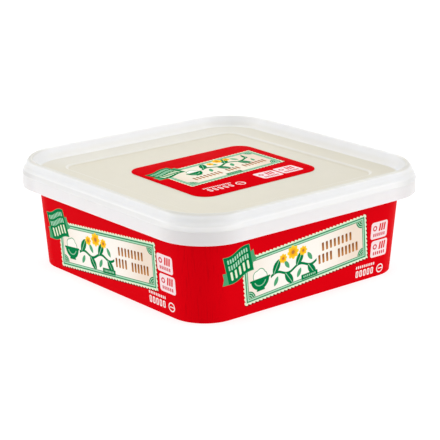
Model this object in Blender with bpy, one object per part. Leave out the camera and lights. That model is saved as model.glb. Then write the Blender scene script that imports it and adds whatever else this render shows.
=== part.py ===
"""A shut square yogurt pot: a tapering tub with round corners, a deep press-on lid, the yogurt that fills
the tub, a printed sleeve round its wall and a printed label on the lid. Metres, +Z up. The origin is the
middle of the base, where the pot stands. The faces look along -Y, +X, +Y and -X."""

import math
from dataclasses import dataclass

import bmesh
import bpy

# The lid is the widest part, and everything else is measured from it or from the base.
LID_WIDTH = 0.165
LID_CORNER = 0.0268
LID_TOP = 0.059
LID_THICKNESS = 0.0008
SKIRT_BOTTOM = 0.044
SHOULDER = 0.0511
CREST_INSET = 0.0032
CREST_CORNER = 0.0263
LEDGE_WIDTH = 0.150
LEDGE_CORNER = 0.022
LEDGE_HEIGHT = 0.0531
PANEL_WIDTH = 0.1194
PANEL_CORNER = 0.008
PANEL_HEIGHT = 0.0521

# The printed wall leans out from the base to the lid's skirt.
BASE_WIDTH = 0.1423
BASE_CORNER = 0.019
SKIRT_WIDTH = 0.1497
SKIRT_CORNER = 0.0227
TUB_THICKNESS = 0.0007
FLOOR_THICKNESS = 0.0009
FOOT_ROUND = 0.0007
FLOOR_ROUND = 0.003
STEP_HEIGHT = 0.0472
STEP_RISE = 0.0016
RIM_WIDTH = 0.1588
RIM_CORNER = 0.0253
RIM_TOP = 0.0559

GAP = 0.0003
SLEEVE_THICKNESS = 0.0002
SLEEVE_BOTTOM = 0.0006
SLEEVE_TOP = 0.0465
LABEL_SIZE = (0.087, 0.071)
LABEL_CENTRE = (0.0035, -0.0005)
LABEL_CORNER = 0.009
LABEL_THICKNESS = 0.0002
FILL_LEVEL = 0.0484

CORNER_STEPS = 10


@dataclass(frozen=True)
class Ring:
    """A level round-cornered square: half its width, its corner radius and its height."""

    half: float
    corner: float
    height: float

    def inside(self, inset: float, height: float | None = None) -> "Ring":
        """The ring that runs this far inside, at the same height unless one is given."""
        return Ring(self.half - inset, self.corner - inset, self.height if height is None else height)


def between(low: Ring, high: Ring, height: float) -> Ring:
    """The ring at this height on the straight wall from low to high."""
    share = (height - low.height) / (high.height - low.height)
    return Ring(
        low.half + share * (high.half - low.half), low.corner + share * (high.corner - low.corner), height
    )


def outline(ring: Ring, size: tuple[float, float] = (0.0, 0.0), centre: tuple[float, float] = (0.0, 0.0)):
    """The ring's points, anticlockwise from +X. Size widens it to a rectangle, and centre moves it."""
    points = []
    for corner in range(4):
        turn = math.pi / 2 * corner
        side_x = 1 if corner in (0, 3) else -1
        side_y = 1 if corner < 2 else -1
        middle_x = centre[0] + side_x * (ring.half - ring.corner + size[0])
        middle_y = centre[1] + side_y * (ring.half - ring.corner + size[1])
        for step in range(CORNER_STEPS + 1):
            angle = turn + math.pi / 2 * step / CORNER_STEPS
            points.append(
                (
                    middle_x + ring.corner * math.cos(angle),
                    middle_y + ring.corner * math.sin(angle),
                    ring.height,
                )
            )
    return points


def finish(name: str, mesh: bmesh.types.BMesh, material: bpy.types.Material) -> bpy.types.Object:
    """Turns the faces outwards, shades the round corners smooth and makes the named object."""
    bmesh.ops.recalc_face_normals(mesh, faces=mesh.faces)
    data = bpy.data.meshes.new(name)
    mesh.to_mesh(data)
    mesh.free()
    data.shade_smooth()
    data.set_sharp_from_angle(angle=math.radians(30))
    data.materials.append(material)
    piece = bpy.data.objects.new(name, data)
    bpy.context.scene.collection.objects.link(piece)
    return piece


def loft(name: str, loops: list, material: bpy.types.Material, closed: bool = False) -> bpy.types.Object:
    """Skins each loop of points to the next one. The ends are capped, or joined if the loft is closed."""
    mesh = bmesh.new()
    rows = [[mesh.verts.new(point) for point in points] for points in loops]
    if closed:
        rows.append(rows[0])
    else:
        mesh.faces.new(rows[0])
        mesh.faces.new(rows[-1])
    for row, following in zip(rows, rows[1:]):
        for corners in zip(row, row[1:] + row[:1], following[1:] + following[:1], following):
            mesh.faces.new(corners)
    return finish(name, mesh, material)


def plastic(name: str, colour: tuple, roughness: float) -> bpy.types.Material:
    """An opaque, non-metallic material of one colour."""
    material = bpy.data.materials.new(name)
    material.use_nodes = True
    shader = material.node_tree.nodes["Principled BSDF"]
    shader.inputs["Base Color"].default_value = (*colour, 1.0)
    shader.inputs["Roughness"].default_value = roughness
    shader.inputs["Metallic"].default_value = 0.0
    return material


def printed_wall() -> tuple[Ring, Ring]:
    """The outer face of the sleeve, at the base and at the lid's skirt."""
    return Ring(BASE_WIDTH / 2, BASE_CORNER, 0.0), Ring(SKIRT_WIDTH / 2, SKIRT_CORNER, SKIRT_BOTTOM)


def tub_wall(height: float, depth: float = 0.0) -> Ring:
    """The tub's wall at this height, and this deep in from its outer face. The sleeve lies outside it."""
    return between(*printed_wall(), height).inside(SLEEVE_THICKNESS + GAP + depth)


def make_tub(material: bpy.types.Material) -> bpy.types.Object:
    """A thin cup: a flat foot, leaning walls, and a step out to the upright rim that the lid closes over."""
    rim = Ring(RIM_WIDTH / 2, RIM_CORNER, RIM_TOP)
    step_foot = STEP_HEIGHT + STEP_RISE
    outside = [
        tub_wall(0.0, FOOT_ROUND),
        tub_wall(FOOT_ROUND * 0.3, FOOT_ROUND * 0.3),
        tub_wall(FOOT_ROUND),
        tub_wall(STEP_HEIGHT),
        rim.inside(TUB_THICKNESS * 0.3, step_foot),
        rim,
    ]
    inner_step = step_foot + TUB_THICKNESS
    inside = [
        rim.inside(TUB_THICKNESS),
        rim.inside(TUB_THICKNESS * 1.3, inner_step),
        tub_wall(STEP_HEIGHT + TUB_THICKNESS, TUB_THICKNESS),
        tub_wall(FLOOR_THICKNESS + FLOOR_ROUND, TUB_THICKNESS),
        tub_wall(FLOOR_THICKNESS + FLOOR_ROUND * 0.3, TUB_THICKNESS + FLOOR_ROUND * 0.3),
        tub_wall(FLOOR_THICKNESS, TUB_THICKNESS + FLOOR_ROUND),
    ]
    return loft("tub", [outline(ring) for ring in outside + inside], material)


def make_yogurt(material: bpy.types.Material) -> bpy.types.Object:
    """The set yogurt, a gap's width off the tub's floor and walls, up to its level under the lid."""
    floor = FLOOR_THICKNESS + GAP
    depth = TUB_THICKNESS + GAP
    rings = [
        tub_wall(floor, depth + FLOOR_ROUND),
        tub_wall(floor + FLOOR_ROUND * 0.3, depth + FLOOR_ROUND * 0.3),
        tub_wall(floor + FLOOR_ROUND, depth),
        tub_wall(FILL_LEVEL, depth),
    ]
    return loft("yogurt", [outline(ring) for ring in rings], material)


def make_lid(material: bpy.types.Material) -> bpy.types.Object:
    """A thin shell: a sunk panel, a ledge, a wall up to the crest, then down to the shoulder and skirt."""
    skirt = Ring(LID_WIDTH / 2, LID_CORNER, SKIRT_BOTTOM)
    crest = Ring(LID_WIDTH / 2 - CREST_INSET, CREST_CORNER, LID_TOP)
    ledge = Ring(LEDGE_WIDTH / 2, LEDGE_CORNER, LEDGE_HEIGHT)
    panel = Ring(PANEL_WIDTH / 2, PANEL_CORNER, PANEL_HEIGHT)
    thick = LID_THICKNESS
    shoulder = skirt.inside(thick * 0.5, SHOULDER + thick * 0.5)
    crest_out = crest.inside(-thick * 0.7, LID_TOP - thick * 0.8)
    crest_in = crest.inside(thick * 0.6, LID_TOP - thick * 0.7)
    above = [
        panel.inside(thick * 0.6),
        panel.inside(-thick * 0.6, LEDGE_HEIGHT),
        ledge.inside(thick * 0.5),
        ledge.inside(-thick * 0.2, LEDGE_HEIGHT + thick * 0.4),
        crest_in,
        crest.inside(thick * 0.25, LID_TOP - thick * 0.15),
        crest,
        crest.inside(-thick * 0.4, LID_TOP - thick * 0.2),
        crest_out,
        shoulder,
        skirt.inside(0.0, SHOULDER - thick * 0.5),
        skirt.inside(0.0, SKIRT_BOTTOM + thick * 0.4),
        skirt.inside(thick * 0.15),
    ]
    wall_drop = thick * 1.8
    below = [
        skirt.inside(thick * 0.85),
        skirt.inside(thick, SHOULDER - thick),
        shoulder.inside(thick, SHOULDER),
        between(shoulder, crest_out, LID_TOP - wall_drop - thick * 0.6).inside(thick * 1.05),
        crest.inside(thick * 0.2, LID_TOP - wall_drop),
        between(ledge, crest_in, LID_TOP - wall_drop - thick * 0.6).inside(-thick * 1.25),
        ledge.inside(-thick * 0.6, LEDGE_HEIGHT - thick),
        panel.inside(-thick * 1.2, LEDGE_HEIGHT - thick),
        panel.inside(0.0, PANEL_HEIGHT - thick),
    ]
    return loft("lid", [outline(ring) for ring in above + below], material)


def make_sleeve(material: bpy.types.Material) -> bpy.types.Object:
    """The printed film round the tub's wall, from just above the foot to under the lid's skirt."""
    low, high = (between(*printed_wall(), height) for height in (SLEEVE_BOTTOM, SLEEVE_TOP))
    rings = [low, high, high.inside(SLEEVE_THICKNESS), low.inside(SLEEVE_THICKNESS)]
    return loft("side_label", [outline(ring) for ring in rings], material, closed=True)


def make_lid_label(material: bpy.types.Material) -> bpy.types.Object:
    """The printed label on the lid's sunk panel."""
    widening = [side / 2 - LABEL_CORNER for side in LABEL_SIZE]
    low = PANEL_HEIGHT + GAP
    loops = [
        outline(Ring(LABEL_CORNER, LABEL_CORNER, height), widening, LABEL_CENTRE)
        for height in (low, low + LABEL_THICKNESS)
    ]
    return loft("lid_label", loops, material)


def main() -> None:
    """Clears the scene and builds the pot's pieces."""
    for piece in list(bpy.data.objects):
        bpy.data.objects.remove(piece, do_unlink=True)
    make_tub(plastic("tub_plastic", (0.86, 0.85, 0.82), 0.4))
    make_yogurt(plastic("yogurt_cream", (0.90, 0.85, 0.72), 0.5))
    make_lid(plastic("lid_plastic", (0.86, 0.86, 0.84), 0.38))
    make_sleeve(plastic("side_print", (0.66, 0.004, 0.006), 0.35))
    make_lid_label(plastic("lid_print", (0.66, 0.004, 0.006), 0.35))


main()
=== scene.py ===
"""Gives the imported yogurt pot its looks: a milky press-on lid over cream-coloured yogurt, a red printed
sleeve round the tub and a printed label on the lid, on a pale floor in soft studio light."""

import logging
import math
from dataclasses import dataclass
from enum import Enum
from typing import Protocol

import bmesh
import bpy
from mathutils import Matrix, Vector, noise


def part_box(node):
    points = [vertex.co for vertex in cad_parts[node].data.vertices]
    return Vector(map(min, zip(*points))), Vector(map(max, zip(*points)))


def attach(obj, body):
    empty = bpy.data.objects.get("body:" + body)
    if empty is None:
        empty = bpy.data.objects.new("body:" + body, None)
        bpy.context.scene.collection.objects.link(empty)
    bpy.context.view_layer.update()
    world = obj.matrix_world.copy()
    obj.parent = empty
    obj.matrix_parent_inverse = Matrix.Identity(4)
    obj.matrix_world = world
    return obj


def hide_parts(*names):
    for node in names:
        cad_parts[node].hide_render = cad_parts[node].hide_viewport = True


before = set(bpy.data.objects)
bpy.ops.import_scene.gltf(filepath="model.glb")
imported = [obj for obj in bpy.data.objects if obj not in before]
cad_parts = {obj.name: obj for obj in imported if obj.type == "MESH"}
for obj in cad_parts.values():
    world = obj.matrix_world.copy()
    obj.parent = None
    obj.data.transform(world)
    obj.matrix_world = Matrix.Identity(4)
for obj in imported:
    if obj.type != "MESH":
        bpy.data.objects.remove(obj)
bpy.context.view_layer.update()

log = logging.getLogger("yogurt_pot")

# Shapes are in metres, and prints in millimetres, with a narrow bleed at the edge of each ink.
MM = 0.001
CORNER_STEPS = 20
PRINT_MAPS = ("face", "panel", "ribbon")
SAME_PLACE = 1e-7
SAME_LEVEL = 1e-6
BLEED = 0.07

Pair = tuple[float, float]
Triple = tuple[float, float, float]
Colour = tuple[float, float, float, float]
Mesh = bmesh.types.BMesh
Material = bpy.types.Material
Thing = bpy.types.Object


def linear(red: int, green: int, blue: int) -> Colour:
    """Turns a colour as a screen shows it, 0 to 255, into the scene's linear light.

    Args:
        red: The red part.
        green: The green part.
        blue: The blue part.

    Returns:
        The linear colour with full alpha.
    """
    parts = (part / 255 for part in (red, green, blue))
    light = [part / 12.92 if part <= 0.04045 else ((part + 0.055) / 1.055) ** 2.4 for part in parts]
    return light[0], light[1], light[2], 1.0


class Ink(Enum):
    """The inks of the print, and the whites that they are laid on."""

    RED = linear(213, 0, 14)
    # A darker copy of RED for the lid's label: painted shade, as the lid's top catches more light than the
    # sides.
    SHADED_LID_RED = linear(208, 0, 12)
    DARK_RED = linear(128, 6, 12)
    CREAM = linear(232, 216, 199)
    BRIGHT = linear(245, 241, 233)
    PALE = linear(234, 227, 211)
    SAND = linear(228, 211, 193)
    EDGE = linear(226, 236, 206)
    MINT = linear(166, 214, 183)
    LEAF = linear(78, 160, 112)
    GREEN = linear(0, 120, 66)
    YELLOW = linear(247, 206, 44)
    AMBER = linear(238, 158, 24)
    BROWN = linear(132, 76, 28)
    TAN = linear(184, 122, 60)
    BADGE = linear(239, 219, 220)
    ROSE = linear(205, 62, 76)
    WHITE = linear(242, 238, 234)


# --- Shader maths ---


class Signal:
    """An output socket whose arithmetic adds Math nodes to its material."""

    def __init__(self, nodes: "Nodes", socket: bpy.types.NodeSocket) -> None:
        """Wraps an output socket of a node tree."""
        self.nodes = nodes
        self.socket = socket

    def math(self, operation: str, *others: "float | Signal") -> "Signal":
        """One Math node with this signal first and the others after it."""
        return self.nodes.add("ShaderNodeMath", {"operation": operation}, (self, *others))

    def __add__(self, other: "float | Signal") -> "Signal":
        """This plus other."""
        return self.math("ADD", other)

    def __sub__(self, other: "float | Signal") -> "Signal":
        """This minus other."""
        return self.math("SUBTRACT", other)

    def __rsub__(self, other: float) -> "Signal":
        """A number minus this."""
        return self.nodes.add("ShaderNodeMath", {"operation": "SUBTRACT"}, (other, self))

    def __mul__(self, other: "float | Signal") -> "Signal":
        """This times other."""
        return self.math("MULTIPLY", other)

    def __truediv__(self, other: "float | Signal") -> "Signal":
        """This over other."""
        return self.math("DIVIDE", other)

    def __mod__(self, other: float) -> "Signal":
        """This modulo other, from 0 up to other."""
        return self.math("FLOORED_MODULO", other)

    def __abs__(self) -> "Signal":
        """The size of this."""
        return self.math("ABSOLUTE")

    def __neg__(self) -> "Signal":
        """Minus this."""
        return self * -1.0

    __radd__ = __add__
    __rmul__ = __mul__

    def most(self, other: "float | Signal") -> "Signal":
        """The greater of this and other."""
        return self.math("MAXIMUM", other)

    def least(self, other: "float | Signal") -> "Signal":
        """The lesser of this and other."""
        return self.math("MINIMUM", other)

    def wave(self, pitch: float) -> "Signal":
        """A sine of this that repeats every pitch."""
        return (self * (2 * math.pi / pitch)).math("SINE")

    def ramp(self, low: float, high: float) -> "Signal":
        """A smooth step from 0 where this is low to 1 where it is high."""
        settings = {"interpolation_type": "SMOOTHSTEP", "clamp": True}
        return self.nodes.add("ShaderNodeMapRange", settings, (self, low, high, 0.0, 1.0))


class Nodes:
    """The node tree of a material, or of the world, with its shader."""

    def __init__(self, owner: Material | bpy.types.World) -> None:
        """Turns the nodes on.

        Args:
            owner: The new material or world.
        """
        owner.use_nodes = True
        self.owner = owner
        self.tree = owner.node_tree
        shaders = ("BSDF_PRINCIPLED", "BACKGROUND")
        self.shader = next(node for node in self.tree.nodes if node.type in shaders)

    @classmethod
    def material(cls, name: str) -> "Nodes":
        """The nodes of a new material."""
        return cls(bpy.data.materials.new(name))

    def add(
        self, kind: str, settings: dict | None = None, inputs: dict | tuple = (), output: int | str = 0
    ) -> Signal:
        """Adds one node of any type.

        Args:
            kind: The node's type.
            settings: Its properties, set before its sockets. "stops" holds a colour ramp's stops.
            inputs: Values or signals for its sockets, in order or by key.
            output: The output that is wanted.

        Returns:
            That output.
        """
        node = self.tree.nodes.new(kind)
        for name, value in (settings or {}).items():
            if name == "stops":
                self._set_stops(node.color_ramp, value)
            else:
                setattr(node, name, value)
        for key, value in inputs.items() if isinstance(inputs, dict) else enumerate(inputs):
            if isinstance(value, Signal):
                self.tree.links.new(value.socket, node.inputs[key])
            else:
                node.inputs[key].default_value = value
        return Signal(self, node.outputs[output])

    @staticmethod
    def _set_stops(ramp: bpy.types.ColorRamp, stops: list[tuple[float, tuple]]) -> None:
        """Fills a colour ramp.

        Args:
            ramp: The ramp.
            stops: The place and colour of each stop, in order.
        """
        while len(ramp.elements) < len(stops):
            ramp.elements.new(1.0)
        for element, (place, colour) in zip(ramp.elements, stops):
            element.position = place
            element.color = colour

    def mix(self, share: "float | Signal", low: "tuple | Signal", high: "tuple | Signal") -> Signal:
        """Blends two colours: share is how much of the second one shows, from 0 to 1."""
        return self.add("ShaderNodeMix", {"data_type": "RGBA"}, {0: share, 6: low, 7: high}, 2)

    def shade(self, colour: "tuple | Signal", amount: Signal) -> Signal:
        """Darkens or lightens a colour.

        Args:
            colour: The colour.
            amount: The factor, which varies over the surface.

        Returns:
            The shaded colour.
        """
        grey = self.add("ShaderNodeCombineXYZ", None, (amount, amount, amount))
        settings = {"data_type": "RGBA", "blend_type": "MULTIPLY"}
        return self.add("ShaderNodeMix", settings, {0: 1.0, 6: colour, 7: grey}, 2)

    def place(self, scale: float | tuple = 1.0) -> Signal:
        """Finds the point on the object.

        Args:
            scale: What its metres are multiplied by, as one number or three.

        Returns:
            The scaled point.
        """
        point = self.add("ShaderNodeTexCoord", output="Object")
        factors = scale if isinstance(scale, tuple) else (scale, scale, scale)
        return self.add("ShaderNodeVectorMath", {"operation": "MULTIPLY"}, (point, factors))

    def split(self, vector: Signal) -> list[Signal]:
        """The three parts of a vector."""
        parts = self.add("ShaderNodeSeparateXYZ", None, (vector,))
        return [Signal(self, socket) for socket in parts.socket.node.outputs]

    def noise(self, point: Signal, scale: float, detail: float = 2.0) -> Signal:
        """Smooth random values about 0.5 at each point."""
        return self.add("ShaderNodeTexNoise", None, {"Vector": point, "Scale": scale, "Detail": detail})

    def set(self, **values: "float | tuple | Signal") -> None:
        """Sets or links sockets of the shader.

        Args:
            values: A value or signal for each, by its name with underscores for spaces.
        """
        for name, value in values.items():
            socket = self.shader.inputs[name.replace("_", " ")]
            if isinstance(value, Signal):
                self.tree.links.new(value.socket, socket)
            else:
                socket.default_value = value

    def bump(self, height: Signal, strength: float, distance: float) -> None:
        """Gives the shader a relief from 0 to 1, this strong, and this deep in metres."""
        inputs = {"Strength": strength, "Distance": distance, "Height": height}
        self.set(Normal=self.add("ShaderNodeBump", None, inputs))


@dataclass(frozen=True)
class Chart:
    """Flat coordinates on a print, in millimetres, with the shapes that are drawn in them.

    Each shape is a signed distance: below 0 inside, above 0 outside.
    """

    across: Signal
    up: Signal

    def at(self, across: float, up: float, turn: float = 0.0) -> "Chart":
        """A chart whose middle is at a point of this one.

        Args:
            across: The point's place across.
            up: The point's place up.
            turn: How far the new chart is turned anticlockwise, in degrees.

        Returns:
            The new chart.
        """
        x = self.across - across
        y = self.up - up
        if not turn:
            return Chart(x, y)
        cosine = math.cos(math.radians(turn))
        sine = math.sin(math.radians(turn))
        return Chart(x * cosine + y * sine, y * cosine - x * sine)

    def radius(self) -> Signal:
        """The distance from the middle."""
        return (self.across * self.across + self.up * self.up).math("SQRT")

    def disc(self, size: float) -> Signal:
        """A disc of this radius."""
        return self.radius() - size

    def ring(self, size: float, width: float) -> Signal:
        """A ring of this middle radius and line width."""
        return abs(self.radius() - size) - width / 2

    def box(self, half_across: float, half_up: float, corner: float = 0.0) -> Signal:
        """A rectangle with round corners.

        Args:
            half_across: Half its width.
            half_up: Half its height.
            corner: Its corner radius.

        Returns:
            Its signed distance.
        """
        x = abs(self.across) - (half_across - corner)
        y = abs(self.up) - (half_up - corner)
        if not corner:
            return x.most(y)
        outside = Chart(x.most(0.0), y.most(0.0)).radius()
        return outside + x.most(y).least(0.0) - corner

    def leaf(self, half_length: float, half_width: float) -> Signal:
        """A pointed leaf that lies across, between two arcs."""
        radius = (half_length**2 + half_width**2) / (2 * half_width)
        return Chart(self.across, abs(self.up) + (radius - half_width)).disc(radius)

    def petals(self, size: float, count: int, depth: float) -> Signal:
        """A round flower.

        Args:
            size: Its outer radius.
            count: The number of petals.
            depth: How deep the gaps between them are, as a share of the radius.

        Returns:
            Its signed distance.
        """
        angle = self.up.math("ARCTAN2", self.across)
        lobes = abs((angle * (count / 2)).math("COSINE"))
        return self.radius() - size * (1 - depth) - lobes * (size * depth)

    def row(self, pitch: float) -> "Chart":
        """The same chart in every cell of a row with this pitch."""
        return Chart(self.across % pitch - pitch / 2, self.up)


# --- Print layout ---


@dataclass(frozen=True)
class Bars:
    """A row of upright bars that stands where a line of print would, in millimetres."""

    start: float
    end: float
    level: float
    height: float
    pitch: float
    width: float

    def draw(self, chart: Chart) -> Signal:
        """The row's shape.

        Args:
            chart: The chart that its places are in.

        Returns:
            Its signed distance.
        """
        count = max(1, round((self.end - self.start) / self.pitch))
        pitch = (self.end - self.start) / count
        whole = chart.at((self.start + self.end) / 2, self.level)
        limits = whole.box((self.end - self.start) / 2, self.height / 2)
        cell = chart.at(self.start, self.level).row(pitch)
        return cell.box(self.width / 2, self.height / 2, min(self.width, self.height) * 0.35).most(limits)


@dataclass(frozen=True)
class Ribbon:
    """The waving green ribbon that overlaps the panel's corner, in millimetres."""

    centre: Pair
    turn: float
    half_across: float
    half_up: float
    wave: float = 0.7
    small_pitch: float = 1.5
    large_pitch: float = 2.6
    tail: float = 1.56


@dataclass(frozen=True)
class Weight:
    """The white marks at the weight's place, in millimetres."""

    start: float
    level: float
    small_width: float = 14.0
    large_width: float = 13.0
    large_height: float = 3.7
    ring: float = 2.2


@dataclass(frozen=True)
class Layout:
    """Where everything lies on one print, in millimetres. Panel places are from the panel's middle."""

    panel_half: Pair
    bowl: Pair
    bowl_size: float
    garland: Triple
    garland_scale: float
    flowers: tuple[Triple, ...]
    plaque: Pair
    rows: tuple[Bars, ...]
    ribbon: Ribbon
    badges: tuple[Pair, ...]
    badge_half: Pair
    weight: Weight
    border: float = 3.1
    turn: Pair = (51.0, 62.0)
    scallop_pitch: float = 2.4
    scallop_depth: float = 0.75
    shadow: Pair = (0.3, -0.35)
    band_inset: float = 1.15
    line_inset: float = 1.8
    line_half: float = 0.29
    fan_size: float = 4.2
    fan_pitch: float = 1.2
    middle: Ink = Ink.BRIGHT
    ends: Ink = Ink.CREAM


SIDE_LAYOUT = Layout(
    panel_half=(42.6, 13.1),
    bowl=(-31.6, -1.2),
    bowl_size=6.0,
    garland=(-24.6, 6.6, -2.2),
    garland_scale=1.5,
    flowers=((-9.0, 6.9, 3.9), (-15.8, 5.4, 2.7), (-2.2, 5.7, 2.7)),
    plaque=(1.2, -9.3),
    rows=(
        Bars(start=10.0, end=32.2, level=3.6, height=4.8, pitch=2.75, width=1.45),
        Bars(start=7.2, end=18.0, level=-3.0, height=5.2, pitch=2.75, width=1.45),
        Bars(start=21.0, end=36.2, level=-3.4, height=5.2, pitch=2.6, width=1.45),
    ),
    ribbon=Ribbon(centre=(-49.6, 28.4), turn=16.0, half_across=8.3, half_up=7.7),
    badges=((49.2, 26.8), (50.2, 16.3)),
    badge_half=(6.1, 4.7),
    weight=Weight(start=33.9, level=4.4, large_width=13.6),
)

LID_LAYOUT = Layout(
    panel_half=(35.4, 15.6),
    bowl=(-17.6, 3.4),
    bowl_size=5.0,
    garland=(-10.8, 25.2, 4.2),
    garland_scale=1.55,
    flowers=((6.4, 11.2, 3.1), (-0.2, 9.6, 2.3), (12.8, 10.4, 2.3)),
    plaque=(-0.5, -11.6),
    rows=(
        Bars(start=-26.0, end=-5.0, level=-6.0, height=4.4, pitch=2.6, width=1.35),
        Bars(start=-1.5, end=8.5, level=-5.8, height=4.4, pitch=2.6, width=1.35),
        Bars(start=11.5, end=29.0, level=-5.6, height=4.4, pitch=2.6, width=1.35),
    ),
    ribbon=Ribbon(centre=(-28.3, 14.2), turn=14.0, half_across=9.4, half_up=6.6),
    badges=((12.1, -22.6), (27.1, -21.8)),
    badge_half=(6.9, 5.4),
    weight=Weight(start=-32.5, level=-26.0, small_width=19.0, large_width=17.5, large_height=4.2, ring=2.5),
    border=3.2,
    middle=Ink.PALE,
    ends=Ink.SAND,
)


@dataclass(frozen=True)
class Setting:
    """How a panel is set on its face: its middle in millimetres, and its slopes in degrees.

    Rise is how far its long sides climb to the right, and lean is how far its ends lean to the left. Shift
    and ribbon are how far the marks beside the panel and the ribbon have moved on this face.
    """

    middle: Pair
    rise: float
    lean: float
    shift: Pair = (0.0, 0.0)
    ribbon: Pair = (0.0, 0.0)

    def panel_place(self, across: float, up: float) -> Pair:
        """Turns a place on the face into one on the panel.

        Args:
            across: The place across the face, in millimetres.
            up: The place up the face, in millimetres.

        Returns:
            The place along and up the panel, in millimetres.
        """
        along = Vector((math.cos(math.radians(self.rise)), math.sin(math.radians(self.rise))))
        upward = Vector((-math.sin(math.radians(self.lean)), math.cos(math.radians(self.lean))))
        offset = Vector((across - self.middle[0], up - self.middle[1]))
        area = along.x * upward.y - along.y * upward.x
        return (
            (offset.x * upward.y - offset.y * upward.x) / area,
            (along.x * offset.y - along.y * offset.x) / area,
        )


class Press:
    """One print in the making: its layout, its charts, and the colour that the inks have made so far."""

    def __init__(self, nodes: Nodes, layout: Layout) -> None:
        """Reads the charts from the piece's UV maps, which hold metres.

        Args:
            nodes: The print's nodes.
            layout: What to print, and where.
        """
        self.nodes = nodes
        self.layout = layout
        self.colour: Colour | Signal = Ink.WHITE.value
        maps = (nodes.add("ShaderNodeUVMap", {"uv_map": name}) for name in PRINT_MAPS)
        places = (nodes.split(place)[:2] for place in maps)
        self.face, self.panel, self.ribbon = (Chart(across / MM, up / MM) for across, up in places)

    def lay(self, distance: Signal, ink: "Ink | Signal") -> None:
        """Lays a shape of one ink, or of a colour that varies, over what is there.

        Args:
            distance: The shape.
            ink: Its ink or colour.
        """
        settings = {"operation": "MULTIPLY_ADD", "use_clamp": True}
        mask = self.nodes.add("ShaderNodeMath", settings, (distance, -0.5 / BLEED, 0.5))
        self.colour = self.nodes.mix(mask, self.colour, ink.value if isinstance(ink, Ink) else ink)

    def lay_ground(self, ink: Ink, strength: float) -> None:
        """Lays the ground, with the fine dark lines that stretching leaves where the film turns a corner.

        Args:
            ink: The ground's ink.
            strength: How much the lines show.
        """
        nodes = self.nodes
        drift = nodes.noise(nodes.place(), 30.0)
        flat = nodes.shade(ink.value, drift * 0.06 + 0.97)
        streaks = nodes.noise(nodes.place((1.0, 1.0, 0.03)), 1100.0, 2.0).ramp(0.52, 0.72)
        turning = abs(self.face.across).ramp(*self.layout.turn)
        self.colour = nodes.mix(streaks * turning * strength, flat, Ink.DARK_RED.value)

    def lay_panel(self) -> None:
        """Lays the cream panel with its shadow, scalloped edge, double line and lighter middle."""
        layout, chart = self.layout, self.panel
        half_across, half_up = layout.panel_half
        scallops = 1 - abs(((chart.across + chart.up) * (math.pi / layout.scallop_pitch)).math("SINE"))
        outline = chart.box(half_across, half_up)
        inner = outline + layout.border
        fade = (chart.at(-6.0, 0.0).across / half_across).math("POWER", 2.0).ramp(0.0, 0.9)
        self.lay(chart.at(*layout.shadow).box(half_across, half_up), Ink.DARK_RED)
        self.lay(outline + scallops * layout.scallop_depth, Ink.EDGE)
        self.lay(outline + layout.band_inset, Ink.MINT)
        self.lay(abs(outline + layout.line_inset) - layout.line_half, Ink.GREEN)
        self.lay(inner - 0.2, Ink.GREEN)
        self.lay(inner + 0.16, self.nodes.mix(fade, layout.middle.value, layout.ends.value))
        self._fans(inner + 0.3)

    def _fans(self, inside: Signal) -> None:
        """Lays a fan of curved green lines in each of the panel's corners.

        Args:
            inside: The shape that the fans stay in.
        """
        across, up = (half - self.layout.border for half in self.layout.panel_half)
        fan = Chart(abs(self.panel.across) - across, abs(self.panel.up) - up)
        rays = abs((fan.up.math("ARCTAN2", fan.across) * 6.0).math("SINE"))
        lines = (fan.radius() % self.layout.fan_pitch) - 0.5 - rays * 0.35
        shape = fan.disc(self.layout.fan_size).most(inside)
        self.lay(shape, Ink.MINT)
        self.lay(shape.most(lines), Ink.GREEN)

    def lay_garland(self) -> None:
        """Lays a green stem with a leaf in each cell, above and below it by turns."""
        start, end, level = self.layout.garland
        scale = self.layout.garland_scale
        pitch = 5.2 * scale
        line = self.panel.at(start, level)
        limits = self.panel.at((start + end) / 2, level).box((end - start) / 2, 8.0)
        stem = abs(line.up - line.across.wave(pitch * 2) * (0.9 * scale)) - 0.5 * scale
        side = ((line.across / pitch).math("FLOOR") % 2.0) * -2.0 + 1.0
        cell = Chart(line.row(pitch).across, line.up * side)
        large = cell.at(0.2 * scale, 2.9 * scale, 58.0)
        leaf = large.leaf(3.1 * scale, 1.45 * scale)
        vein = abs(large.up) - 0.16
        small = Chart(cell.across, -cell.up).at(-0.4 * scale, 2.4 * scale, 120.0)
        for shape, ink in (
            (stem, Ink.GREEN),
            (small.leaf(1.9 * scale, 0.8 * scale), Ink.LEAF),
            (leaf, Ink.GREEN),
            (vein.most(leaf + 0.3), Ink.MINT),
        ):
            self.lay(shape.most(limits), ink)

    def lay_bowl(self) -> None:
        """Lays a green bowl with a mound of cream over its rim."""
        size = self.layout.bowl_size
        bowl = self.panel.at(*self.layout.bowl)
        body = bowl.at(0.0, 0.2)
        mound = bowl.at(0.0, 0.2 * size).petals(0.82 * size, 5, 0.12).most(-bowl.up)
        rim = bowl.at(0.0, 0.1).box(1.12 * size, 0.55, 0.5)
        foot = bowl.at(0.0, -0.98 * size).box(0.45 * size, 0.5, 0.3)
        stripe = abs(body.ring(0.62 * size, 0.3)).most(bowl.up + 1.2) - 0.1
        self.lay(mound, Ink.LEAF)
        self.lay(mound + 0.45, Ink.BRIGHT)
        for shape in (body.disc(size).most(bowl.up), rim, foot):
            self.lay(shape, Ink.GREEN)
        self.lay(stripe, Ink.MINT)

    def lay_flowers(self) -> None:
        """Lays the yellow flowers, darker towards the middle, each with a brown eye."""
        for across, up, size in self.layout.flowers:
            flower = self.panel.at(across, up)
            depth = (flower.radius() / size).ramp(0.2, 0.9)
            petals = self.nodes.mix(depth, Ink.AMBER.value, Ink.YELLOW.value)
            self.lay(flower.petals(size, 8, 0.24), petals)
            self.lay(flower.disc(0.26 * size), Ink.TAN)

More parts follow.
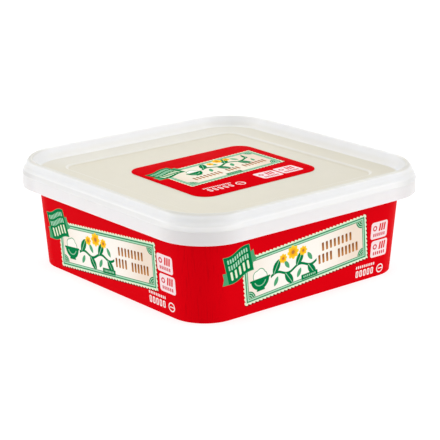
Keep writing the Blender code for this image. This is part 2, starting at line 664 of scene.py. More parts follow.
    def lay_words(self) -> None:
        """Lays the rows of brown bars, lighter towards their feet, and the small green plaque."""
        for bars in self.layout.rows:
            fade = (self.panel.up - bars.level).ramp(-bars.height / 2, bars.height / 2)
            self.lay(bars.draw(self.panel), self.nodes.mix(fade, Ink.TAN.value, Ink.BROWN.value))
        plaque = self.panel.at(*self.layout.plaque)
        self.lay(plaque.box(5.6, 1.45, 0.5), Ink.GREEN)
        self.lay(Bars(-4.4, 4.4, 0.0, 1.1, 1.25, 0.7).draw(plaque), Ink.MINT)

    def lay_ribbon(self) -> None:
        """Lays the ribbon's two tails, its waving middle and three rows of pale bars."""
        ribbon = self.layout.ribbon
        half_across, half_up = ribbon.half_across, ribbon.half_up
        flat = self.ribbon.at(*ribbon.centre, ribbon.turn)
        waved = Chart(flat.across, flat.up - flat.across.wave(half_across * 2) * ribbon.wave)
        for side, drop in ((-1, -0.55), (1, 0.0)):
            tail = flat.at(side * (half_across + 0.4), drop * half_up, 12.0 * side)
            flared = abs(tail.across) - abs(tail.up) * 0.2 - ribbon.tail
            self.lay(flared.most(abs(tail.up) - half_up * 0.42), Ink.LEAF)
        body = waved.box(half_across, half_up, 0.4)
        self.lay(body, Ink.LEAF)
        self.lay(body + 0.25, Ink.GREEN)
        reach = half_across - 1.5
        for level, height, pitch, width, ink in (
            (0.62, 0.3, ribbon.small_pitch, 0.85, Ink.MINT),
            (0.16, 0.34, ribbon.small_pitch, 0.85, Ink.MINT),
            (-0.45, 0.62, ribbon.large_pitch, 1.25, Ink.EDGE),
        ):
            self.lay(Bars(-reach, reach, level * half_up, height * half_up, pitch, width).draw(waved), ink)

    def lay_badges(self) -> None:
        """Lays the pale badges, each with a ring, three strokes and a row of small bars."""
        half_across, half_up = self.layout.badge_half
        foot = Bars(-0.74 * half_across, 0.74 * half_across, -0.54 * half_up, 0.4 * half_up, 1.5, 0.95)
        for centre in self.layout.badges:
            badge = self.face.at(*centre)
            self.lay(badge.box(half_across, half_up, 1.5), Ink.BADGE)
            self.lay(badge.at(-0.54 * half_across, 0.26 * half_up).ring(1.15, 0.75), Ink.ROSE)
            strokes = badge.at(0.06 * half_across, 0.3 * half_up, -8.0)
            for number in range(3):
                stroke = strokes.at(number * 0.27 * half_across, number * 0.3)
                self.lay(stroke.box(0.55, 0.46 * half_up, 0.35), Ink.RED)
            self.lay(foot.draw(badge), Ink.ROSE)

    def lay_weight(self) -> None:
        """Lays the small and large white rows and the ring beside them."""
        weight = self.layout.weight
        line = self.face.at(weight.start, weight.level)
        small = Bars(0.0, weight.small_width, weight.large_height / 2 + 1.9, 1.5, 1.35, 0.75)
        large = Bars(0.0, weight.large_width, 0.0, weight.large_height, weight.large_width / 5, 1.9)
        marks = large.draw(line)
        ring = line.at(weight.large_width + 2.4 + weight.ring, 0.0)
        self.lay(small.draw(line), Ink.WHITE)
        self.lay(marks, Ink.WHITE)
        self.lay(marks + 0.62, Ink.RED)
        self.lay(ring.ring(weight.ring, 0.6), Ink.WHITE)
        self.lay(ring.at(0.3, 0.0).box(weight.ring * 0.7, 0.28), Ink.WHITE)


@dataclass(frozen=True)
class PrintFinish:
    """Printed film: flat inks with a fine mottle, and gloss that varies with the film's thickness."""

    name: str
    layout: Layout
    ground: Ink = Ink.RED
    streaks: float = 0.2
    roughness: float = 0.35
    gloss: float = 0.006

    def make(self) -> Material:
        """Builds the print's material.

        Returns:
            The material.
        """
        nodes = Nodes.material(self.name)
        press = Press(nodes, self.layout)
        press.lay_ground(self.ground, self.streaks)
        press.lay_panel()
        press.lay_garland()
        press.lay_bowl()
        press.lay_flowers()
        press.lay_words()
        press.lay_ribbon()
        press.lay_badges()
        press.lay_weight()
        mottle = nodes.noise(nodes.place(), 2600.0, 1.0)
        cloud = nodes.noise(nodes.place(), 60.0)
        nodes.set(
            Base_Color=nodes.shade(press.colour, mottle * 0.06 + 0.97),
            Roughness=cloud * 0.1 + self.roughness,
            Specular_IOR_Level=self.gloss,
        )
        nodes.bump(nodes.noise(nodes.place((1.0, 1.0, 0.35)), 220.0), 0.08, 0.0002)
        return nodes.owner


# --- Shapes ---


@dataclass(frozen=True)
class Ring:
    """A level square with round corners, and how large a fillet the profile has there. In metres."""

    half: float
    corner: float
    height: float
    fillet: float = 0.0

    def inside(self, inset: float, height: float | None = None, fillet: float = 0.0) -> "Ring":
        """The ring that runs inside this one.

        Args:
            inset: How far inside.
            height: Its height, or None for this ring's.
            fillet: Its fillet.

        Returns:
            The inner ring.
        """
        level = self.height if height is None else height
        return Ring(self.half - inset, self.corner - inset, level, fillet)

    def vector(self) -> Vector:
        """The ring's three sizes as one vector, which blends."""
        return Vector((self.half, self.corner, self.height))

    def point(self, place: int, steps: int) -> Vector:
        """One of the ring's points.

        Args:
            place: The point's number, anticlockwise from the middle of the +X, +Y corner's start.
            steps: The number of steps in a corner's arc.

        Returns:
            The point.
        """
        corner, step = divmod(place, steps + 1)
        angle = math.pi / 2 * (corner + step / steps)
        middle = self.half - self.corner
        side_x = 1 if corner in (0, 3) else -1
        side_y = 1 if corner < 2 else -1
        return Vector(
            (
                side_x * middle + self.corner * math.cos(angle),
                side_y * middle + self.corner * math.sin(angle),
                self.height,
            )
        )


def between(low: Ring, high: Ring, height: float, fillet: float = 0.0) -> Ring:
    """The ring at a height on the straight wall through two rings.

    Args:
        low: One ring.
        high: The other ring.
        height: The wanted height.
        fillet: The new ring's fillet.

    Returns:
        The ring.
    """
    share = (height - low.height) / (high.height - low.height)
    half, corner, _ = low.vector().lerp(high.vector(), share)
    return Ring(half, corner, height, fillet)


def filleted(profile: list[Ring], steps: int = 4) -> list[Ring]:
    """Rounds the corners of a profile.

    Args:
        profile: The rings in order, each with its fillet.
        steps: The steps in each fillet.

    Returns:
        The rings with a short curve in place of each filleted one.
    """
    rings = []
    for number, ring in enumerate(profile):
        if not ring.fillet or number in (0, len(profile) - 1):
            rings.append(ring)
            continue
        here = ring.vector()
        before = profile[number - 1].vector() - here
        after = profile[number + 1].vector() - here
        start = here + before * min(0.49, ring.fillet / Vector((before.x, before.z)).length)
        end = here + after * min(0.49, ring.fillet / Vector((after.x, after.z)).length)
        for step in range(steps + 1):
            share = step / steps
            half, corner, height = start.lerp(here, share).lerp(here.lerp(end, share), share)
            rings.append(Ring(half, corner, height))
    return rings


class SquareLoft:
    """A shell grown ring by ring with bmesh's own circle, extrude and fill."""

    def __init__(self, first: Ring, steps: int = CORNER_STEPS) -> None:
        """Draws the first ring.

        Args:
            first: The first ring.
            steps: The steps in each corner's arc.
        """
        self.steps = steps
        self.mesh = bmesh.new()
        self.place = self.mesh.verts.layers.int.new("place")
        count = 4 * (steps + 1)
        points = bmesh.ops.create_circle(self.mesh, segments=count, radius=first.half)["verts"]
        for number, point in enumerate(points):
            point[self.place] = number
        self.rim = list(self.mesh.edges)
        self._set_rim(first)

    @classmethod
    def solid(cls, rings: list[Ring]) -> "SquareLoft":
        """Grows a closed shell, with one face across its last ring and one across its first.

        Args:
            rings: The rings in order.

        Returns:
            The loft.
        """
        loft = cls(rings[0])
        start = list(loft.rim)
        loft.grow(rings[1:])
        for rim in (loft.rim, start):
            bmesh.ops.edgeloop_fill(loft.mesh, edges=rim)
        return loft

    def _rim_points(self) -> set[bmesh.types.BMVert]:
        """The points of the ring that is being grown from."""
        return {point for edge in self.rim for point in edge.verts}

    def _set_rim(self, ring: Ring) -> None:
        """Moves the rim's points onto a ring."""
        for point in self._rim_points():
            point.co = ring.point(point[self.place], self.steps)

    def grow(self, rings: list[Ring]) -> "SquareLoft":
        """Extrudes the rim from ring to ring.

        Args:
            rings: The rings in order.

        Returns:
            This loft.
        """
        for ring in rings:
            made = bmesh.ops.extrude_edge_only(self.mesh, edges=self.rim)["geom"]
            new = {part for part in made if isinstance(part, bmesh.types.BMVert)}
            edges = (part for part in made if isinstance(part, bmesh.types.BMEdge))
            self.rim = [edge for edge in edges if set(edge.verts) <= new]
            self._set_rim(ring)
        return self

    def close(self) -> "SquareLoft":
        """Joins the last ring to the first where the two lie on each other."""
        bmesh.ops.remove_doubles(self.mesh, verts=self.mesh.verts, dist=SAME_PLACE)
        return self


def linked(name: str, data: bpy.types.ID) -> Thing:
    """Puts a new object in the scene.

    Args:
        name: Its name.
        data: The mesh, light or camera that it holds.

    Returns:
        The object.
    """
    made = bpy.data.objects.new(name, data)
    bpy.context.scene.collection.objects.link(made)
    return made


@dataclass(frozen=True)
class Piece:
    """One finished piece: its name, the CAD node that it stands for, its slot, and its sharp angle."""

    name: str
    node: str
    slot: str
    sharp: float = 40.0

    def finish(self, mesh: Mesh, material: Material) -> Thing:
        """Makes the piece from its mesh, parents it to the root body and hides its CAD node.

        Args:
            mesh: The mesh, which is used up.
            material: Its material.

        Returns:
            The piece.
        """
        bmesh.ops.recalc_face_normals(mesh, faces=mesh.faces)
        data = bpy.data.meshes.new(self.name)
        mesh.to_mesh(data)
        mesh.free()
        data.shade_smooth()
        data.set_sharp_from_angle(angle=math.radians(self.sharp))
        data.materials.append(material)
        piece = linked(self.name, data)
        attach(piece, "root")
        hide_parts(self.node)
        log.info("%s: %d faces, stands for %s", self.name, len(data.polygons), self.node)
        return piece


class Finish(Protocol):
    """What each finish does."""

    def make(self) -> Material:
        """The finish's material."""


class Part:
    """A part of the pot, which becomes one piece."""

    piece: Piece

    def build(self) -> Mesh:
        """The part's mesh, which each part models in its own way."""
        raise NotImplementedError

    def make(self, finish: Finish) -> Thing:
        """Models the part, dresses it in a finish and parents it to the root body."""
        return self.piece.finish(self.build(), finish.make())


class PrintMaps:
    """The UV maps of a printed piece, in metres: one for its face, its panel and its ribbon."""

    def __init__(self, mesh: Mesh) -> None:
        """Adds the maps to a mesh."""
        self.face, self.panel, self.ribbon = (mesh.loops.layers.uv.new(name) for name in PRINT_MAPS)

    def lay(self, corner: bmesh.types.BMLoop, place: Vector, setting: Setting) -> None:
        """Lays a corner of a polygon on the maps.

        Args:
            corner: The corner.
            place: Its place on the face, in metres.
            setting: How the face's panel is set.
        """
        corner[self.face].uv = place - Vector(setting.shift) * MM
        corner[self.panel].uv = Vector(setting.panel_place(*(place / MM))) * MM
        corner[self.ribbon].uv = place - Vector(setting.ribbon) * MM


@dataclass(frozen=True)
class Span:
    """The room that a CAD node takes: half its width, and its lowest and highest level."""

    half: float
    low: float
    high: float

    @classmethod
    def of(cls, node: str) -> "Span":
        """Reads a node's room from the imported model."""
        low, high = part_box(node)
        return cls(high.x, low.z, high.z)


@dataclass(frozen=True)
class Wall:
    """The leaning wall that the sleeve, the tub and the yogurt share."""

    foot: Ring = Ring(0.07115, 0.019, 0.0)
    head: Ring = Ring(0.07485, 0.0227, 0.044)
    film: float = 0.0005

    def ring(self, height: float, depth: float = 0.0, fillet: float = 0.0) -> Ring:
        """A ring of the wall at a height, this deep in from the sleeve's outer face."""
        return between(self.foot, self.head, height, fillet).inside(depth, fillet=fillet)

    def tub(self, height: float, depth: float = 0.0, fillet: float = 0.0) -> Ring:
        """A ring of the tub's wall, this deep in from its outer face."""
        return self.ring(height, self.film + depth, fillet)


# --- Finishes ---


@dataclass(frozen=True)
class LidPlastic:
    """Milky moulded plastic, with the yogurt's cream colour showing through the flat part, and with light
    and
    shade painted into its colour: painted light on the inner walls of the +X and +Y sides and along the
    step on the +X, +Y half, and painted shade on the outer corners, bead and skirt, on the crest away from
    the
    +X and +Y walls, and on the panel towards its +X, -Y corner.

    The step runs round the sunk panel and the window round the flat part. They, and the levels between
    which the cream and the painted light and shade change, are in millimetres. The strengths of the painted
    light and shade are shares of the colour.
    """

    white: Colour = linear(230, 230, 229)
    cream: Colour = linear(214, 208, 190)
    step: Triple = (59.7, 59.7, 8.0)
    window: Triple = (75.5, 75.5, 22.0)
    skirt_top: Pair = (50.6, 51.2)
    bead_foot: Pair = (51.0, 51.5)
    bead_top: Pair = (52.9, 53.6)
    front_top: Pair = (51.0, 53.0)
    wall_foot: Pair = (54.5, 57.0)
    crest_foot: Pair = (57.6, 58.7)
    # Strengths of the painted shade and painted light, as shares of the colour.
    painted_skirt_shade: float = 0.025
    painted_side_shade: float = 0.15
    painted_front_shade: float = 0.1
    painted_crest_shade: float = 0.12
    painted_panel_shade: float = 0.045
    painted_wall_light: float = 0.13
    most_painted_wall_light: float = 0.25

    def make(self) -> Material:
        """Builds the lid's material.

        Returns:
            The material.
        """
        # The lid's material carries painted light and shade in its colour.
        nodes = Nodes.material("lid_milky_plastic_painted_shading")
        across, up, height = nodes.split(nodes.place(1 / MM))
        plan = Chart(across, up)
        window = plan.box(*self.window)
        cloud = nodes.noise(nodes.place(), 24.0)
        blotches = nodes.noise(nodes.place(), 85.0, 3.0)
        flow = nodes.noise(nodes.place((1.0, 1.0, 0.12)), 260.0)
        flat = 1 - (window + (cloud - 0.5) * 1.2).ramp(-3.0, -0.6)
        # tint is how much cream shows through; the second value is the light and shade painted into the
        # top.
        tint, painted_light_and_shade = self._tint_and_painted_light(plan, height, window, flat)
        # Random blotches and flow marks, plus the painted light and shade of the top, less the painted
        # shade of the outer wall.
        amount = (blotches - 0.5) * 0.05 + (flow - 0.5) * 0.03 + painted_light_and_shade - self._outside(plan, height, window)
        nodes.set(
            Base_Color=nodes.shade(nodes.mix(tint, self.white, self.cream), amount),
            Roughness=cloud * 0.16 + flow * 0.06 + 0.24,
            Specular_IOR_Level=0.4,
            Subsurface_Weight=0.35,
            Subsurface_Radius=(1.0, 0.92, 0.75),
            Subsurface_Scale=0.003,
        )
        grain = nodes.noise(nodes.place(), 1400.0)
        nodes.bump(cloud * 0.8 + grain * 0.06 + flow * 0.14, 0.22, 0.0006)
        return nodes.owner

    def _tint_and_painted_light(self, plan: Chart, height: Signal, window: Signal, flat: Signal) -> tuple[Signal, Signal]:
        """Colours the panel, the ledge round it, the inner wall and the crest, and paints light and shade
        on them.

        Args:
            plan: The lid seen from above.
            height: The level.
            window: The distance past the window's edge.
            flat: 1 on the flat part.

        Returns:
            How much of the cream shows, and the plastic's painted light and shade.
        """
        across, up = plan.across, plan.up
        ahead = across + up
        step = plan.box(*self.step)
        # Painted highlight: a lighter, less creamy line along the step on the +X, +Y half.
        painted_step_highlight = (1 - abs(step - 0.4).ramp(0.3, 1.1)) * ahead.ramp(-90.0, -20.0)
        ledge = step.ramp(0.0, 2.5) * (up - across).ramp(-40.0, 10.0) * ahead.ramp(-20.0, 20.0)
        far = across.most(up).ramp(62.0, 72.0) * ahead.ramp(5.0, 30.0)
        wall = window.ramp(-2.2, -0.8) * (1 - window.ramp(3.2, 3.9)) * far
        foot = wall * (1 - height.ramp(*self.wall_foot))
        crest = height.ramp(*self.crest_foot) * (1 - far)
        tint = (flat * (1 - painted_step_highlight * 0.5 - ledge * 0.3)).most(foot * 0.3).most(crest * 0.4)
        corner = (abs(across) + abs(up)).ramp(124.0, 136.0)
        # Painted light: the inner walls on the +X and +Y sides are lighter, more towards +Y and at their
        # corner, up to a cap.
        light = wall * (up.ramp(30.0, 76.0) * 0.1 + corner * 0.1 + self.painted_wall_light).least(self.most_painted_wall_light)
        # Painted shade: the panel darker towards its +X, -Y corner, and the crest darker away from the +X
        # and +Y walls.
        dim = flat * (across - up).ramp(10.0, 90.0) * self.painted_panel_shade + crest * self.painted_crest_shade
        return tint, light + painted_step_highlight * 0.03 - dim + 1.0

    def _outside(self, plan: Chart, height: Signal, window: Signal) -> Signal:
        """Paints shade on the outer wall at its corners, on its bead and on its skirt, with a painted
        highlight on the bead at the -X, -Y corner.

        Args:
            plan: The lid seen from above.
            height: The level.
            window: The distance past the window's edge.

        Returns:
            How much darker the painted shade makes the plastic.
        """
        ahead = plan.across + plan.up
        corners = (abs(plan.across) + abs(plan.up)).ramp(132.0, 146.0) * window.ramp(2.6, 3.8)
        bead = (height.ramp(*self.bead_foot) - height.ramp(*self.bead_top)) * window.ramp(5.0, 6.0)
        # Painted shade at the +X, -Y and -X, +Y corners.
        side = (1 - abs(ahead).ramp(30.0, 80.0)) * self.painted_side_shade
        # Painted shade at the -X, -Y corner, less above the bead, with a painted highlight on the bead.
        front = self.painted_front_shade - height.ramp(*self.front_top) * 0.06 - bead * 0.13
        front = front * (1 - ahead.ramp(-120.0, -70.0))
        # Painted shade: the skirt a little darker all round.
        skirt = (1 - height.ramp(*self.skirt_top)) * self.painted_skirt_shade
        # Painted shade on the bead all round, more on the -X side.
        return corners * (side + front) + skirt + bead * ((-plan.across).ramp(79.0, 81.0) * 0.07 + 0.05)


@dataclass(frozen=True)
class TubPlastic:
    """Thin off-white plastic with faint upright draw marks."""

    colour: Colour = linear(242, 240, 234)
    shadow: Colour = linear(228, 225, 217)

    def make(self) -> Material:
        """Builds the tub's material.

        Returns:
            The material.
        """
        nodes = Nodes.material("tub_satin_plastic")
        draw = nodes.noise(nodes.place((1.0, 1.0, 0.06)), 420.0)
        cloud = nodes.noise(nodes.place(), 40.0, 3.0)
        nodes.set(
            Base_Color=nodes.mix(cloud * 0.7 + draw * 0.3, self.shadow, self.colour),
            Roughness=draw * 0.12 + 0.34,
            Specular_IOR_Level=0.45,
            Subsurface_Weight=0.2,
            Subsurface_Radius=(1.0, 0.95, 0.85),
            Subsurface_Scale=0.001,
        )
        nodes.bump(draw * 0.5 + cloud * 0.5, 0.15, 0.0002)
        return nodes.owner


@dataclass(frozen=True)
class SetYogurt:
    """Set yogurt under a thin skin of cream, glossy and faintly mottled."""

    pale: Colour = linear(252, 248, 238)
    creamy: Colour = linear(244, 233, 207)

    def make(self) -> Material:
        """Builds the yogurt's material.

        Returns:
            The material.
        """
        nodes = Nodes.material("set_yogurt")
        mottle = nodes.noise(nodes.place(), 130.0, 5.0)
        curds = nodes.noise(nodes.place(), 900.0)
        settings = {"stops": [(0.35, self.pale), (0.52, linear(249, 241, 222)), (0.7, self.creamy)]}
        colour = nodes.add("ShaderNodeValToRGB", settings, {"Fac": mottle})
        nodes.set(
            Base_Color=nodes.shade(colour, curds * 0.04 + 0.98),
            Roughness=mottle * 0.25 + 0.2,
            Subsurface_Weight=0.5,
            Subsurface_Radius=(1.0, 0.8, 0.55),
            Subsurface_Scale=0.004,
        )
        nodes.bump(mottle * 0.8 + curds * 0.2, 0.4, 0.0006)
        return nodes.owner


@dataclass(frozen=True)
class FloorPaint:
    """A plain pale floor, lit a little from below, so that the shadows on it are faint."""

    colour: Colour = linear(160, 160, 160)
    dim: Colour = linear(157, 157, 158)
    glow: float = 0.76

    def make(self) -> Material:
        """Builds the floor's material.

        Returns:
            The material.
        """
        nodes = Nodes.material("pale_floor")
        cloud = nodes.noise(nodes.place(), 3.0)
        nodes.set(
            Base_Color=nodes.mix(cloud, self.dim, self.colour),
            Roughness=0.9,
            Specular_IOR_Level=0.1,
            Emission_Color=(1.0, 1.0, 1.0, 1.0),
            Emission_Strength=self.glow,
        )
        return nodes.owner


# --- The pot ---


@dataclass
class Lid(Part):
    """The press-on lid: a sunk panel on a ledge, a wall up to the crest, a shoulder bead and a skirt."""

    piece = Piece("lid_shell", "lid", "lid_plastic")
    span: Span
    corner: float = 0.0268
    thickness: float = 0.0008
    crest_inset: float = 0.0032
    crest_corner: float = 0.0278
    ledge: Ring = Ring(0.075, 0.022, 0.0531)
    panel: Ring = Ring(0.0597, 0.008, 0.0521)
    bead: float = 0.0512
    edge: float = 0.0006

    def _outside(self) -> list[Ring]:
        """The rings of the face that shows, from the panel out and down to the skirt's edge.

        Returns:
            The rings.
        """
        low, high, bead = self.span.low, self.span.high, self.bead
        crest = Ring(self.span.half - self.crest_inset, self.crest_corner, high)
        skirt = Ring(self.span.half, self.corner, low)
        ledge, panel = self.ledge, self.panel
        shoulder = (
            (0.0023, high - 0.0022, 0.0007),
            (0.0021, high - 0.0037, 0.0007),
            (0.0010, high - 0.0050, 0.0009),
            (0.0006, bead + 0.0017, 0.0005),
            (0.0001, bead + 0.0004, 0.0002),
            (0.0, bead, 0.0003),
            (0.0001, bead - 0.0004, 0.0002),
            (0.00028, bead - 0.0006, 0.0002),
            (0.0001, low + self.edge, 0.0002),
            (0.00025, low, 0.0002),
        )
        return [
            panel.inside(0.003),
            panel.inside(0.0008, fillet=0.0005),
            panel.inside(-0.0006, ledge.height, fillet=0.0006),
            ledge.inside(0.0015),
            ledge.inside(0.0, fillet=0.0012),
            crest.inside(0.0006, fillet=0.0007),
            crest.inside(-0.0007, fillet=0.0009),
            *(skirt.inside(*row) for row in shoulder),
        ]

    def _inside(self) -> list[Ring]:
        """The rings of the hidden face, from the skirt's edge up and in to the panel.

        Returns:
            The rings.
        """
        thick, panel = self.thickness, self.panel
        crest = Ring(self.span.half - self.crest_inset, self.crest_corner, self.span.high - thick)
        skirt = Ring(self.span.half, self.corner, self.span.low)
        under = self.ledge.height - thick
        return [
            skirt.inside(thick * 0.9, fillet=0.0002),
            skirt.inside(thick, self.span.low + self.edge),
            skirt.inside(thick * 1.1, self.bead - thick, fillet=0.0004),
            skirt.inside(thick * 1.7, self.bead + 0.0003, fillet=0.0003),
            crest.inside(thick * 0.4, fillet=0.0005),
            crest.inside(thick * 0.6 + 0.0001, fillet=0.0004),
            self.ledge.inside(-thick * 0.6, under, fillet=0.0006),
            panel.inside(-thick * 1.2, under, fillet=0.0004),
            panel.inside(0.0, panel.height - thick, fillet=0.0004),
            panel.inside(0.003, panel.height - thick),
        ]

    def build(self) -> Mesh:
        """Models the lid, from the middle of the panel out, down, and back up the hidden face."""
        return SquareLoft.solid(filleted(self._outside() + self._inside())).mesh


@dataclass
class Tub(Part):
    """The thin tub: a flat foot, leaning walls and the upright rim that the lid closes over."""

    piece = Piece("tub_shell", "tub", "tub_plastic")
    span: Span
    wall: Wall
    thickness: float = 0.0007
    floor: float = 0.0009
    foot_round: float = 0.0008
    floor_round: float = 0.003
    step: float = 0.0472
    step_rise: float = 0.0016
    rim_corner: float = 0.0253

    def build(self) -> Mesh:
        """Models the tub, from the middle of its foot up the outside and back down the inside.

        Returns:
            Its mesh.
        """
        wall, thick = self.wall, self.thickness
        rim = Ring(self.span.half, self.rim_corner, self.span.high)
        rings = filleted(
            [
                wall.tub(0.0, 0.006),
                wall.tub(0.0, 0.0, self.foot_round),
                wall.tub(self.step, 0.0, 0.0004),
                rim.inside(thick * 0.3, self.step + self.step_rise, 0.0004),
                rim.inside(0.0, fillet=0.0003),
                rim.inside(thick, fillet=0.0003),
                rim.inside(thick * 1.3, self.step + self.step_rise + thick, 0.0004),
                wall.tub(self.step + thick, thick, 0.0004),
                wall.tub(self.floor, thick, self.floor_round),
                wall.tub(self.floor, 0.012),
            ]
        )
        return SquareLoft.solid(rings).mesh


@dataclass
class Yogurt(Part):
    """The set yogurt, with the gentle wrinkles of a cream skin on top."""

    piece = Piece("yogurt_fill", "yogurt", "yogurt_cream")
    span: Span
    wall: Wall
    depth: float = 0.001
    floor_round: float = 0.003
    rows: int = 26
    wrinkle: float = 0.0004

    def build(self) -> Mesh:
        """Models the yogurt, from its floor up and in over the top.

        Returns:
            Its mesh.
        """
        top = self.wall.tub(self.span.high, self.depth)
        sides = filleted(
            [
                self.wall.tub(self.span.low, 0.012),
                self.wall.tub(self.span.low, self.depth, self.floor_round),
                self.wall.tub(self.span.high - 0.0006, self.depth),
                Ring(top.half, top.corner, top.height - 0.0002),
            ]
        )
        inner = [
            Ring(top.half * share, top.corner * share, top.height - self.wrinkle)
            for share in (1 - row / self.rows for row in range(1, self.rows))
        ]
        mesh = SquareLoft.solid(sides + inner).mesh
        self._wrinkle(mesh, top.height - self.wrinkle)
        return mesh

    def _wrinkle(self, mesh: Mesh, level: float) -> None:
        """Raises and lowers the skin in long soft folds.

        Args:
            mesh: The yogurt's mesh.
            level: The height of the skin's points.
        """
        for point in mesh.verts:
            if abs(point.co.z - level) < SAME_LEVEL:
                place = Vector((point.co.x * 70, point.co.y * 45, 0.3))
                fold = noise.noise(place) * 0.7 + noise.noise(place * 3.1) * 0.3
                point.co.z += fold * self.wrinkle


FAR_SETTING = Setting(middle=(-2.3, 21.2), rise=4.9, lean=6.0)


@dataclass
class SideSleeve(Part):
    """The printed film round the tub, with one panel on each face."""

    piece = Piece("side_sleeve", "side_label", "side_print")
    span: Span
    wall: Wall
    bottom: float = 0.00012
    thickness: float = 0.00045
    foot_band: float = 0.002
    rows: int = 8
    settings: tuple[Setting, ...] = (
        FAR_SETTING,
        FAR_SETTING,
        Setting(middle=(-2.3, 20.2), rise=5.8, lean=-1.0, shift=(-2.2, 1.3), ribbon=(4.4, -1.8)),
        Setting(middle=(-2.3, 21.6), rise=4.7, lean=9.0, ribbon=(1.35, 0.7)),
    )

    def build(self) -> Mesh:
        """Models the film and lays its maps out.

        Returns:
            Its mesh.
        """
        wall, thick = self.wall, self.thickness
        foot = self.bottom + self.foot_band
        heights = [foot + (self.span.high - foot) * row / self.rows for row in range(self.rows)]
        rings = filleted(
            [
                wall.ring(self.bottom, thick),
                wall.ring(self.bottom, 0.0, 0.0003),
                *(wall.ring(height) for height in heights),
                wall.ring(self.span.high),
                wall.ring(self.span.high, thick),
                wall.ring(self.bottom, thick),
            ]
        )
        loft = SquareLoft(rings[0]).grow(rings[1:]).close()
        self._map(loft)
        return loft.mesh

    def _map(self, loft: SquareLoft) -> None:
        """Unrolls each face of the film, to the middle of the corners, and sets the panel on it.

        Args:
            loft: The film.
        """
        maps = PrintMaps(loft.mesh)
        lean = (self.wall.head.half - self.wall.foot.half) / self.wall.head.height
        slope = math.hypot(1.0, lean)
        for polygon in loft.mesh.faces:
            middle = polygon.calc_center_median()
            side = round(math.atan2(middle.y, middle.x) / (math.pi / 2)) % 4
            for corner in polygon.loops:
                across = self._unrolled(corner.vert, corner.vert[loft.place], loft.steps, side)
                maps.lay(corner, Vector((across, corner.vert.co.z * slope)), self.settings[side])

    def _unrolled(self, point: bmesh.types.BMVert, place: int, steps: int, side: int) -> float:
        """A point's distance from the middle of its face, along the film.

        Args:
            point: The point.
            place: Its number round its ring.
            steps: The steps in a corner's arc.
            side: The face, from 0 at +X anticlockwise.

        Returns:
            The distance, positive to the right.
        """
        ring = self.wall.ring(point.co.z)
        corner, step = divmod(place, steps + 1)
        turn = math.pi / 2 * step / steps
        straight = ring.half - ring.corner
        if corner == side:
            return straight + ring.corner * turn
        return -(straight + ring.corner * (math.pi / 2 - turn))


@dataclass
class LidLabel(Part):
    """The printed label that lies on the lid's panel, cut a little askew."""

    piece = Piece("lid_label_print", "lid_label", "lid_print", sharp=60.0)
    corner: float = 0.0095
    slant: float = 0.03
    climb: float = 0.03
    level: float = 0.05214
    thickness: float = 0.0002
    corner_steps: int = 16
    setting: Setting = Setting(middle=(1.7, 3.6), rise=5.0, lean=-1.0)

    def build(self) -> Mesh:
        """Models the label as a thin slab with round corners and a soft top edge.

        Returns:
            Its mesh.
        """
        low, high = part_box("lid_label")
        middle = (low + high) / 2
        size = high - low
        askew = Matrix(((1.0, self.slant, 0.0), (self.climb, 1.0, 0.0), (0.0, 0.0, 1.0))).to_4x4()
        place = Matrix.Translation((middle.x, middle.y, self.level + self.thickness / 2)) @ askew
        across = size.x - self.slant * size.y
        scale = Matrix.Diagonal((across, size.y - self.climb * across, self.thickness, 1.0))
        mesh = bmesh.new()
        bmesh.ops.create_cube(mesh, size=1.0, matrix=place @ scale)
        upright = [edge for edge in mesh.edges if abs(edge.verts[0].co.z - edge.verts[1].co.z) > SAME_LEVEL]
        self._bevel(mesh, upright, self.corner, self.corner_steps)
        top = self.level + self.thickness
        rim = [edge for edge in mesh.edges if all(abs(end.co.z - top) < SAME_PLACE for end in edge.verts)]
        self._bevel(mesh, rim, self.thickness * 0.4, 2)
        maps = PrintMaps(mesh)
        for polygon in mesh.faces:
            for corner in polygon.loops:
                maps.lay(corner, (corner.vert.co - middle).to_2d(), self.setting)
        return mesh

    @staticmethod
    def _bevel(mesh: Mesh, edges: list[bmesh.types.BMEdge], size: float, steps: int) -> None:
        """Rounds edges of a mesh.

        Args:
            mesh: The mesh.
            edges: The edges that are rounded.
            size: The radius.
            steps: How many faces the rounding is made of.
        """
        bmesh.ops.bevel(
            mesh, geom=edges, offset=size, segments=steps, profile=0.5, affect="EDGES", material=-1
        )


# --- The studio ---


def outward(bearing: float, elevation: float) -> Vector:
    """The direction out from the pot at a bearing and a height over the floor.

    Args:
        bearing: The bearing in degrees, from -Y anticlockwise.
        elevation: The elevation in degrees.

    Returns:
        A vector of length 1.
    """
    turn, climb = math.radians(bearing), math.radians(elevation)
    return Vector((math.sin(turn) * math.cos(climb), -math.cos(turn) * math.cos(climb), math.sin(climb)))


@dataclass(frozen=True)
class Lamp:
    """A soft square light that stands round the pot and faces it."""

    name: str
    bearing: float
    elevation: float
    distance: float
    size: float
    power: float

    def hang(self, target: Vector) -> None:
        """Makes the light.

        Args:
            target: The point that it faces.
        """
        light = bpy.data.lights.new(self.name, "AREA")
        light.shape = "SQUARE"
        light.size = self.size
        light.energy = self.power
        away = outward(self.bearing, self.elevation)
        lamp = linked(self.name, light)
        lamp.location = target + away * self.distance
        lamp.rotation_euler = away.to_track_quat("Z", "Y").to_euler()


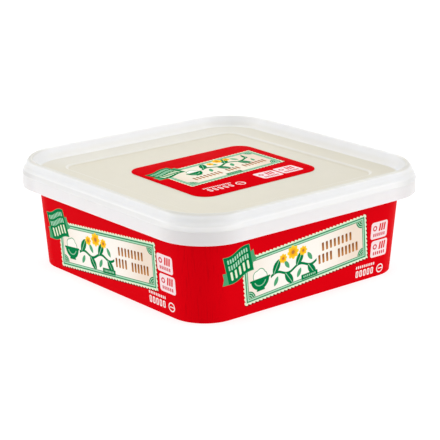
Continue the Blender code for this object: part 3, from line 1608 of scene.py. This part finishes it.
@dataclass(frozen=True)
class Viewpoint:
    """The camera: where it stands round the pot's base, and how far its middle is off the base's."""

    bearing: float = -40.03
    elevation: float = 17.19
    roll: float = -0.16
    distance: float = 0.8696
    rise: float = 0.02357
    slide: float = 0.0011
    lens: float = 130.53
    sensor: float = 36.0

    def place(self) -> Thing:
        """Makes the scene's camera.

        Returns:
            The camera.
        """
        bearing = math.radians(self.bearing)
        back = outward(self.bearing, self.elevation)
        right = Vector((math.cos(bearing), math.sin(bearing), 0.0))
        right.rotate(Matrix.Rotation(math.radians(self.roll), 3, back))
        up = back.cross(right)
        data = bpy.data.cameras.new("camera")
        data.lens = self.lens
        data.sensor_width = self.sensor
        data.clip_start = 0.01
        camera = linked("camera", data)
        stand = Matrix.Translation(back * self.distance + up * self.rise + right * self.slide)
        camera.matrix_world = stand @ Matrix((right, up, back)).transposed().to_4x4()
        bpy.context.scene.camera = camera
        return camera


@dataclass
class Studio:
    """The pale floor, the soft lights and the light from all round, which is lower on one side."""

    floor_size: float = 8.0
    floor_gap: float = 0.0001
    target: Triple = (0.0, 0.0, 0.03)
    surround: float = 1.0
    shade: float = 0.48
    shaded_side: Triple = (-0.643, -0.766, 0.0)
    lamps: tuple[Lamp, ...] = (
        Lamp("right_light", 36.0, 14.0, 1.8, 0.9, 8.2),
        Lamp("left_light", -126.0, 14.0, 1.8, 0.9, 7.4),
        Lamp("top_light", -20.0, 84.0, 1.8, 1.6, 7.5),
    )

    def build(self) -> None:
        """Lays the floor, hangs the lights and places the camera."""
        mesh = bmesh.new()
        place = Matrix.Translation((0.0, 0.0, -self.floor_gap))
        bmesh.ops.create_grid(mesh, x_segments=2, y_segments=2, size=self.floor_size / 2, matrix=place)
        data = bpy.data.meshes.new("floor")
        mesh.to_mesh(data)
        mesh.free()
        data.materials.append(FloorPaint().make())
        linked("floor", data)
        self._surround()
        for lamp in self.lamps:
            lamp.hang(Vector(self.target))
        Viewpoint().place()
        bpy.context.scene.view_settings.view_transform = "Standard"
        log.info("studio: %d lights", len(self.lamps))

    def _surround(self) -> None:
        """Lights the room from all round, less from the side that the front corner faces."""
        world = bpy.data.worlds.new("pale_room")
        nodes = Nodes(world)
        direction = nodes.add("ShaderNodeTexCoord", output="Generated")
        settings = {"operation": "DOT_PRODUCT"}
        facing = nodes.add("ShaderNodeVectorMath", settings, (direction, self.shaded_side), "Value")
        nodes.set(Color=(1.0, 1.0, 1.0, 1.0), Strength=self.surround - facing.ramp(-0.1, 0.9) * self.shade)
        bpy.context.scene.world = world


def main() -> None:
    """Builds the studio, then the pot from the outside in, and logs each piece's face count."""
    logging.basicConfig(level=logging.INFO, format="%(message)s")
    Studio().build()
    wall = Wall()
    Lid(Span.of("lid")).make(LidPlastic())
    SideSleeve(Span.of("side_label"), wall).make(PrintFinish("side_print_film", SIDE_LAYOUT))
    # The lid's print is laid on the darker copy of the red, a painted shade.
    LidLabel().make(PrintFinish("lid_print_film", LID_LAYOUT, ground=Ink.SHADED_LID_RED, gloss=0.001))
    Tub(Span.of("tub"), wall).make(TubPlastic())
    Yogurt(Span.of("yogurt"), wall).make(SetYogurt())


if __name__ == "__main__":
    main()
